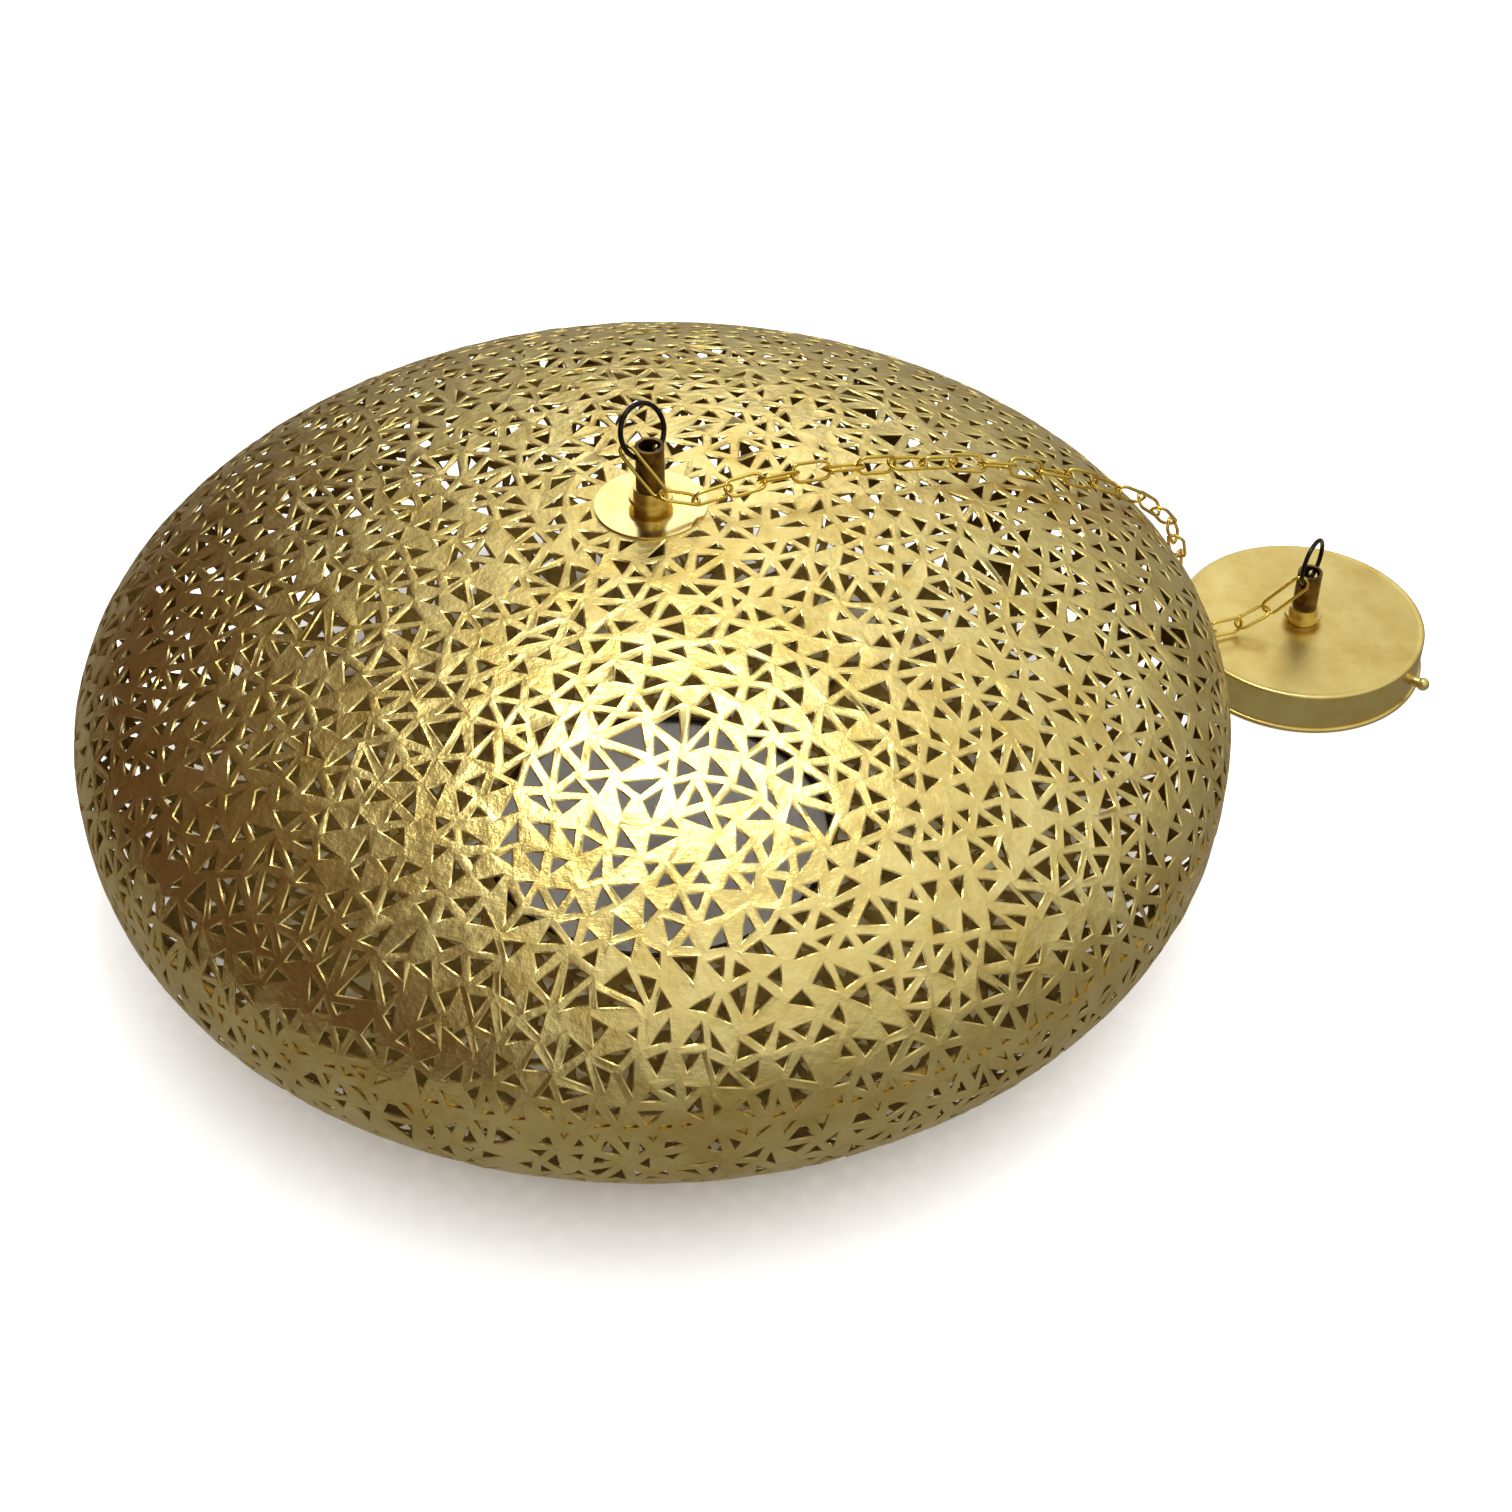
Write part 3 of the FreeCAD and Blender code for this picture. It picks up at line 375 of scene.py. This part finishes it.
# The rosettes' middles, and the rings of cut corners round each of them.
ROSETTE_GAP = 0.100
ROSETTE_RINGS = 7
ROSETTE_TURN = 0.09
ROSETTE_SHIFT = 0.006
RING_GAP = 0.0119
CUT_GAP = 0.0127
EDGE_CUT_GAP = 0.0125
CLOSEST_CUTS = 0.0088
BIN_SIZE = 0.02
CORNER_STRAY = 0.0010
INNER_MARGIN = 0.007
OUTER_MARGIN = 0.008

# The cells between the corners, in square metres, and the strip of brass left round each cut.
WIDEST_CELL = 0.000162
SMALLEST_HOLE = 0.0011
STRIP_SHARES = (0.8, 0.95, 1.1, 1.25)
QUAD_JOIN_ANGLE = 65
STRAY_LEANS = 0.3
CUT_TURN = (3, 14)

# The burr along each cut, how uneven the sheet lies, and how flat it stays beside the seam.
BURR = 0.00055
BURR_RISE = 0.8
CUT_UNEVEN = 0.00015
STRIP_UNEVEN = 0.0004
LONG_SIDE = 0.006
FLAT_EDGE = 0.008
SNAP_TO_SEAM = 0.0003

# The two outlines: an ellipse above the seam, and a fuller curve below it.
shade_low, shade_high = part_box("upper_shell")
SHADE_RADIUS = shade_high.x
EQUATOR = shade_low.z
PLATE_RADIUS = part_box("top_plate")[1].x
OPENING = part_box("opening_rim")[1].x
UPPER_RISE = (shade_high.z - EQUATOR) / math.sqrt(1 - (PLATE_RADIUS / SHADE_RADIUS) ** 2)
LOWER_FULLNESS = 3
LOWER_DROP = (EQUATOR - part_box("lower_shell")[0].z) / (
    1 - (OPENING / SHADE_RADIUS) ** LOWER_FULLNESS
) ** (1 / LOWER_FULLNESS)


def dome(depth, fullness, steps=400):
    """A shell's outline as (distance along it from the pole, radius, height over the equator)."""
    rows = []
    travelled = 0.0
    for i in range(steps + 1):
        angle = math.pi / 2 * i / steps
        radius = SHADE_RADIUS * math.sin(angle) ** (2 / fullness)
        height = depth * math.cos(angle) ** (2 / fullness) if i < steps else 0.0
        if rows:
            travelled += math.hypot(radius - rows[-1][1], height - rows[-1][2])
        rows.append((travelled, radius, height))
    return rows


def on_dome(rows, distance):
    """Radius, height and the outline's direction at a distance along it."""
    low, high = 0, len(rows) - 1
    while high - low > 1:
        middle = (low + high) // 2
        if rows[middle][0] <= distance:
            low = middle
        else:
            high = middle
    a, b = rows[low], rows[high]
    share = (distance - a[0]) / (b[0] - a[0])
    along = Vector((b[1] - a[1], b[2] - a[2])).normalized()
    return a[1] + (b[1] - a[1]) * share, a[2] + (b[2] - a[2]) * share, along


def rosettes(chance, rings, reach):
    """Middles of the rosettes: rings of them round the pole."""
    middles = [Vector((0, 0))]
    for ring, first in rings:
        count = max(3, round(2 * math.pi * ring / ROSETTE_GAP))
        for i in range(count):
            place = i + chance.uniform(-ROSETTE_TURN, ROSETTE_TURN)
            angle = math.radians(first) + 2 * math.pi * place / count
            distance = min(reach, ring + chance.uniform(-ROSETTE_SHIFT, ROSETTE_SHIFT))
            middles.append(Vector((math.cos(angle), math.sin(angle))) * distance)
    return middles


def corners(chance, middles, inner, reach):
    """Where the triangles' corners meet, in rings round each rosette, inside the flat sheet."""
    kept = []
    cells = {}

    def crowded(point):
        x, y = int(point.x // BIN_SIZE), int(point.y // BIN_SIZE)
        near = [p for i in (-1, 0, 1) for j in (-1, 0, 1) for p in cells.get((x + i, y + j), [])]
        return any((p - point).length < CLOSEST_CUTS for p in near)

    def keep(point):
        kept.append(point)
        cells.setdefault((int(point.x // BIN_SIZE), int(point.y // BIN_SIZE)), []).append(point)

    for edge in (inner, reach):
        count = round(2 * math.pi * edge / EDGE_CUT_GAP)
        for i in range(count):
            angle = 2 * math.pi * i / count
            keep(Vector((math.cos(angle), math.sin(angle))) * edge)
    for ring in range(ROSETTE_RINGS):
        for number, middle in enumerate(middles):
            radius = ring * RING_GAP
            count = max(1, round(2 * math.pi * radius / CUT_GAP))
            start = chance.uniform(0, 2 * math.pi)
            for i in range(count):
                angle = start + 2 * math.pi * i / count
                point = middle + Vector((math.cos(angle), math.sin(angle))) * radius
                point += Vector((chance.uniform(-1, 1), chance.uniform(-1, 1))) * CORNER_STRAY
                if not inner + INNER_MARGIN < point.length < reach - OUTER_MARGIN:
                    continue
                nearest = min(range(len(middles)), key=lambda m: (middles[m] - point).length)
                if nearest == number and not crowded(point):
                    keep(point)
    return kept


def flat_cells(points, inner, reach):
    """The flat sheet, divided between the points into four-sided and three-sided cells.

    Lifted on to a bowl, the points' convex hull has the cells on its lower side.
    """
    bm = bmesh.new()
    for point in points:
        bm.verts.new((point.x, point.y, point.length_squared / reach))
    bmesh.ops.convex_hull(bm, input=bm.verts, use_existing_faces=False)
    bm.normal_update()
    lid = [face for face in bm.faces if face.normal.z > 0]
    bmesh.ops.delete(bm, geom=lid, context="FACES")
    hub = [face for face in bm.faces if all(v.co.xy.length < inner + 1e-5 for v in face.verts)]
    bmesh.ops.delete(bm, geom=hub, context="FACES")
    for vert in bm.verts:
        vert.co.z = 0
    bmesh.ops.reverse_faces(bm, faces=bm.faces)
    bmesh.ops.join_triangles(
        bm, faces=bm.faces, angle_face_threshold=math.pi,
        angle_shape_threshold=math.radians(QUAD_JOIN_ANGLE),
    )
    wide = [face for face in bm.faces if face.calc_area() > WIDEST_CELL]
    bmesh.ops.triangulate(bm, faces=wide)
    return bm


def cut_triangles(bm, chance, middles, strip_width):
    """Leaves a strip round each cell, and drops one corner of each four-sided cut."""
    widths = [strip_width / 2 * share for share in STRIP_SHARES]
    cuts = {width: [] for width in widths}
    for face in bm.faces:
        width = chance.choice(widths)
        if 2 * face.calc_area() / face.calc_perimeter() > width + BURR + SMALLEST_HOLE:
            cuts[width].append(face)
    for width, faces in cuts.items():
        bmesh.ops.inset_individual(bm, faces=faces, thickness=width, use_even_offset=True)
    dropped = {}
    for face in [face for faces in cuts.values() for face in faces if len(face.verts) == 4]:
        middle = face.calc_center_median().xy
        rosette = min(middles, key=lambda point: (point - middle).length)
        spoke = middle - rosette
        # The dropped corner turns a quarter from ring to ring, so that the triangles lean in turn.
        lean = 45 + 90 * (int(spoke.length // RING_GAP) + middles.index(rosette))
        if chance.random() < STRAY_LEANS:
            lean = chance.uniform(0, 360)
        way = Matrix.Rotation(math.radians(lean), 2) @ spoke
        far = max(face.loops, key=lambda loop: (loop.vert.co.xy - middle) @ way)
        beside = far.link_loop_next if chance.random() < 0.5 else far.link_loop_prev
        dropped[far.vert] = beside.vert
    bmesh.ops.weld_verts(bm, targetmap=dropped)


def raise_burrs(bm, chance, uncut):
    """Opens the cuts, with a burr along each side. uncut holds the corners of the cells."""
    holes = [face for face in bm.faces if uncut.isdisjoint(face.verts)]
    for face in holes:
        middle = face.calc_center_median()
        spin = Matrix.Rotation(math.radians(chance.uniform(*CUT_TURN)), 3, "Z")
        for vert in face.verts:
            vert.co = middle + spin @ (vert.co - middle)
            vert.co.z = chance.uniform(-CUT_UNEVEN, CUT_UNEVEN)
    foot = set(bm.verts) - uncut
    for vert in bm.verts:
        if vert in uncut and not vert.is_boundary:
            vert.co.z = chance.uniform(-STRIP_UNEVEN, STRIP_UNEVEN)
    for edge in bm.edges:
        if edge.is_boundary or not set(edge.verts) <= uncut:
            edge.smooth = False
    bmesh.ops.inset_individual(
        bm, faces=holes, thickness=BURR, depth=-BURR * BURR_RISE, use_even_offset=True
    )
    bmesh.ops.delete(bm, geom=holes, context="FACES")
    crest = set(bm.verts) - uncut - foot
    for edge in bm.edges:
        if set(edge.verts) <= crest:
            edge.smooth = False
    sides = [
        edge
        for edge in bm.edges
        if any(set(edge.verts) <= level for level in (uncut, foot, crest))
        and edge.calc_length() > LONG_SIDE
    ]
    bmesh.ops.subdivide_edges(bm, edges=sides, cuts=1)


def bend_to_dome(bm, rows, side):
    """Keeps the flat place of each corner as its UV, and moves the sheet on to the dome."""
    reach = rows[-1][0]
    layer = bm.loops.layers.uv.new("sheet")
    for face in bm.faces:
        for loop in face.loops:
            loop[layer].uv = loop.vert.co.xy
    for vert in bm.verts:
        flat = vert.co.xy
        edge_gap = reach - flat.length
        radius, height, along = on_dome(rows, reach if edge_gap < SNAP_TO_SEAM else flat.length)
        lift = vert.co.z * min(1, max(0, edge_gap / FLAT_EDGE))
        radius -= along.y * lift
        height += along.x * lift
        around = flat.normalized() if flat.length > 1e-9 else Vector((1, 0))
        vert.co = (around.x * radius, around.y * radius * side, EQUATOR + height * side)


def pierced(name, seed, rows, rings, inner, strip_width, side):
    """One shell: cut while flat, then domed. side is 1 for the upper shell, -1 for the lower."""
    chance = random.Random(seed)
    reach = rows[-1][0]
    middles = rosettes(chance, rings, reach)
    bm = flat_cells(corners(chance, middles, inner, reach), inner, reach)
    uncut = set(bm.verts)
    cut_triangles(bm, chance, middles, strip_width)
    raise_burrs(bm, chance, uncut)
    bend_to_dome(bm, rows, side)
    mesh = bpy.data.meshes.new(name)
    bm.to_mesh(mesh)
    bm.free()
    mesh.polygons.foreach_set("use_smooth", [True] * len(mesh.polygons))
    piece = bpy.data.objects.new(name, mesh)
    bpy.context.scene.collection.objects.link(piece)
    wall = piece.modifiers.new("wall", "SOLIDIFY")
    wall.thickness = SHEET
    wall.offset = -1
    wall.use_rim = True
    wall.material_offset = 1
    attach(piece, "root")
    return piece


def sheet_brass(name):
    """Spun brass sheet, chiselled, then brushed round and left bare.

    Pale yellow, warmer in the dull patches, dented 5 mm apart by the hammer, with brush lines
    0.4 mm apart along the sheet's rings, deepest beside the seam.
    """
    made, tree, shader = blank(name)
    place = add(tree, "TexCoord").outputs["Object"]
    flat = add(tree, "UVMap", uv_map="sheet").outputs["UV"]
    cloud = add(tree, "TexNoise", {"Vector": place, "Scale": 38, "Detail": 6, "Roughness": 0.7})
    patch = add(
        tree, "MapRange", {"Value": cloud.outputs["Fac"], "From Min": 0.38, "From Max": 0.66}
    )
    tint = add(
        tree, "Mix",
        {"Factor": patch.outputs["Result"], "A": colour("EEDB92"), "B": colour("D6BC6A")},
        data_type="RGBA",
    )
    tree.links.new(tint.outputs["Result"], shader.inputs["Base Color"])
    shader.inputs["Metallic"].default_value = 1
    hammer = add(tree, "TexNoise", {"Vector": flat, "Scale": 210, "Detail": 4, "Roughness": 0.6})
    part = add(tree, "SeparateXYZ", {"Vector": place})
    level = add(tree, "VectorMath", {0: place, 1: (1, 1, 0)}, operation="MULTIPLY")
    radius = add(tree, "VectorMath", {0: level.outputs["Vector"]}, operation="LENGTH")
    angle = add(tree, "Math", {0: part.outputs["Y"], 1: part.outputs["X"]}, operation="ARCTAN2")
    polar = add(
        tree, "CombineXYZ",
        {"X": radius.outputs["Value"], "Y": angle.outputs["Value"], "Z": part.outputs["Z"]},
    )
    brush = add(tree, "Mapping", {"Vector": polar.outputs["Vector"], "Scale": (2800, 22, 2800)})
    brush = add(tree, "TexNoise", {"Vector": brush.outputs["Vector"], "Scale": 1, "Detail": 3})
    rough = add(tree, "MapRange", {"Value": brush.outputs["Fac"], "To Min": 0.2, "To Max": 0.42})
    tree.links.new(rough.outputs["Result"], shader.inputs["Roughness"])
    dents = add(
        tree, "Bump", {"Height": hammer.outputs["Fac"], "Strength": 0.7, "Distance": 0.0007}
    )
    seam = add(tree, "Math", {0: part.outputs["Z"], 1: EQUATOR}, operation="SUBTRACT")
    seam = add(tree, "Math", {0: seam.outputs["Value"]}, operation="ABSOLUTE")
    seam = add(
        tree, "MapRange",
        {
            "Value": seam.outputs["Value"], "From Min": 0.006, "From Max": 0.024,
            "To Min": 1, "To Max": 0.4,
        },
    )
    lines = add(
        tree, "Bump",
        {
            "Height": brush.outputs["Fac"], "Strength": seam.outputs["Result"],
            "Distance": 0.00012, "Normal": dents.outputs["Normal"],
        },
    )
    tree.links.new(lines.outputs["Normal"], shader.inputs["Normal"])
    return made


pierced_brass = sheet_brass("chiselled_brass_sheet")
upper = pierced(
    "upper_shell_pierced", seed=7, rows=dome(UPPER_RISE, 2),
    rings=[(0.100, 5), (0.186, 4), (0.288, 10)], inner=0.012, strip_width=0.0029, side=1,
)
lower_rows = dome(LOWER_DROP, LOWER_FULLNESS)
opening_at = next(row[0] for row in lower_rows if row[1] >= OPENING)
lower = pierced(
    "lower_shell_pierced", seed=11, rows=lower_rows,
    rings=[(0.115, 30), (0.205, 12), (0.300, 10)], inner=opening_at, strip_width=0.0034, side=-1,
)
# The back of the sheet is never brushed, so it is dull. Its darker brown is also painted shade,
# so the inside is dark through the cuts.
inside_brass_painted_shade = brass(
    "unpolished_brass_painted_shade_inside", "A88C48", "7C6230", 0.5, (700, 700, 700), 0.00005, 90
)
for piece, node in ((upper, "upper_shell"), (lower, "lower_shell")):
    piece.data.materials.append(pierced_brass)
    # The inner faces take the darker brass: painted shade inside the shell.
    piece.data.materials.append(inside_brass_painted_shade)
    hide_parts(node)


# ---------------------------------------------------------------- fittings
# Turned, pressed and plated hardware, bought in. Pieces with the same finish share a material,
# and keep the shape they have in the frame.


def clad(names, material):
    """Gives nodes of the frame a material."""
    for name in names:
        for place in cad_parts[name].material_slots:
            place.material = material


# Turned on a lathe: fine rings 0.4 mm apart across the height, and a soft shine.
turned_brass = brass("turned_brass", "EEDA90", "CDB066", 0.28, (300, 300, 2500), 0.00004, 120)
# Buffed: nearly a mirror, with faint scratches only.
polished_brass = brass("polished_brass", "E9DA9C", "D6C078", 0.16, (350, 350, 350), 0.00002, 60)
# Darkened with acid and waxed: black-brown, and brown where fingers rub it.
dark_brass = brass("patinated_brass", "8E7040", "34261A", 0.36, (500, 500, 1500), 0.00005, 130)
# Spring steel, blackened in oil: nearly black, with a low sheen.
black_steel = brass("blackened_steel_wire", "3A3634", "1E1B1A", 0.3, (700, 700, 700), 0.00003, 300)
# Mild steel with its mill scale on: duller and browner than the rings.
rim_steel = brass("dark_steel_wire", "4A4138", "2C2620", 0.45, (600, 600, 600), 0.00004, 150)
# Steel plated with zinc: a cool grey, a little cloudy.
zinc_steel = brass("zinc_plated_steel", "B9BBBA", "8E908F", 0.32, (500, 500, 500), 0.00003, 140)


def glazed_ceramic():
    """Steatite, pressed, fired and glazed: off-white, very smooth, faintly mottled."""
    made, tree, shader = blank("glazed_steatite")
    place = add(tree, "TexCoord").outputs["Object"]
    cloud = add(tree, "TexNoise", {"Vector": place, "Scale": 300, "Detail": 3})
    tint = add(
        tree, "Mix",
        {"Factor": cloud.outputs["Fac"], "A": colour("EFEBDF"), "B": colour("DCD6C6")},
        data_type="RGBA",
    )
    tree.links.new(tint.outputs["Result"], shader.inputs["Base Color"])
    shader.inputs["Roughness"].default_value = 0.18
    bump = add(tree, "Bump", {"Height": cloud.outputs["Fac"], "Strength": 0.2, "Distance": 0.00005})
    tree.links.new(bump.outputs["Normal"], shader.inputs["Normal"])
    return made


ceramic = glazed_ceramic()
clad(["hanger_collar", "canopy_collar", "seam_band"], turned_brass)
clad(["screw_sleeve", "centre_contact"], turned_brass)
clad(["side_screw_front", "side_screw_rear", "terminal_block_screws", "earth_screw"], turned_brass)
clad(["top_plate", "holder_cap", "holder_shell"], polished_brass)
clad(["hanger_stem", "canopy_stem"], dark_brass)
clad(["hanger_ring", "canopy_ring"], black_steel)
clad(["opening_rim"], rim_steel)
clad(["hanger_nipple", "hanger_washer", "hanger_lock_nut"], zinc_steel)
clad(["canopy_nipple", "canopy_washer", "canopy_lock_nut"], zinc_steel)
clad(["ceiling_bracket", "earth_washer", "terminal_screws"], zinc_steel)
clad(["ceramic_insulator", "terminal_block"], ceramic)


# ---------------------------------------------------------------- studio
# A plain pale floor under two soft lamps above and behind, in a pale room that is dark and warm on
# the left. The floor glows outside the shade, so that only a faint shadow stays beside it.

FLOOR_HALF = 6
SHADOW_RADIUS = 0.19
GLOW_RADIUS = 0.27
GLOW = 0.85
SHADE_MIDDLE = Vector((0, 0, 0.15))

floor_bm = bmesh.new()
bmesh.ops.create_grid(floor_bm, x_segments=1, y_segments=1, size=FLOOR_HALF)
floor_mesh = bpy.data.meshes.new("floor")
floor_bm.to_mesh(floor_mesh)
floor_bm.free()
floor = bpy.data.objects.new("floor", floor_mesh)
bpy.context.scene.collection.objects.link(floor)
pale, pale_tree, pale_shader = blank("pale_floor")
pale_shader.inputs["Base Color"].default_value = colour("F4F3F0")
pale_shader.inputs["Roughness"].default_value = 0.9
spot = add(pale_tree, "TexCoord").outputs["Object"]
distance = add(pale_tree, "VectorMath", {0: spot}, operation="LENGTH")
glow = add(
    pale_tree, "MapRange",
    {
        "Value": distance.outputs["Value"], "From Min": SHADOW_RADIUS, "From Max": GLOW_RADIUS,
        "To Max": GLOW,
    },
)
pale_tree.links.new(glow.outputs["Result"], pale_shader.inputs["Emission Strength"])
pale_shader.inputs["Emission Color"].default_value = colour("FFFFFF")
floor.data.materials.append(pale)
floor.visible_glossy = False


def softbox(name, place, width, height, power, tint):
    """A large soft lamp that faces the middle of the shade."""
    light = bpy.data.lights.new(name, "AREA")
    light.shape = "RECTANGLE"
    light.size = width
    light.size_y = height
    light.energy = power
    light.color = colour(tint)[:3]
    lamp = bpy.data.objects.new(name, light)
    away = Vector(place) - SHADE_MIDDLE
    facing_it = away.to_track_quat("Z", "Y").to_matrix().to_4x4()
    lamp.matrix_world = Matrix.Translation(place) @ facing_it
    bpy.context.scene.collection.objects.link(lamp)


softbox("overhead", (-0.02, 0.42, 2.3), 0.42, 0.42, 17.5, "FFFBF2")
softbox("rear", (0.25, 2.35, 1.5), 0.9, 1.0, 3.8, "FFFFFF")

world = bpy.data.worlds.new("studio")
bpy.context.scene.world = world
world.use_nodes = True
room = world.node_tree
facing = add(room, "SeparateXYZ", {"Vector": add(room, "TexCoord").outputs["Generated"]})
height = add(
    room, "MapRange", {"Value": facing.outputs["Z"], "From Min": 0.05, "From Max": 0.85}
)
off_the_left = add(
    room, "MapRange", {"Value": facing.outputs["X"], "From Min": -0.46, "From Max": -0.1}
)
low = add(
    room, "Mix",
    {"Factor": off_the_left.outputs["Result"], "A": colour("523224"), "B": colour("9B9793")},
    data_type="RGBA",
)
high = add(
    room, "Mix",
    {"Factor": off_the_left.outputs["Result"], "A": colour("736150"), "B": colour("FDFCF9")},
    data_type="RGBA",
)
walls = add(
    room, "Mix",
    {"Factor": height.outputs["Result"], "A": low.outputs["Result"], "B": high.outputs["Result"]},
    data_type="RGBA",
)
above_floor = add(room, "MapRange", {"Value": facing.outputs["Z"], "From Min": -0.3, "From Max": 0})
lit = add(
    room, "Mix",
    {
        "Factor": above_floor.outputs["Result"], "A": colour("938D85"),
        "B": walls.outputs["Result"],
    },
    data_type="RGBA",
)
from_camera = add(room, "LightPath").outputs["Is Camera Ray"]
plain = add(
    room, "Mix",
    {"Factor": from_camera, "A": lit.outputs["Result"], "B": colour("FFFFFF")},
    data_type="RGBA",
)
room.links.new(plain.outputs["Result"], room.nodes["Background"].inputs["Color"])
bpy.context.scene.view_settings.view_transform = "Standard"
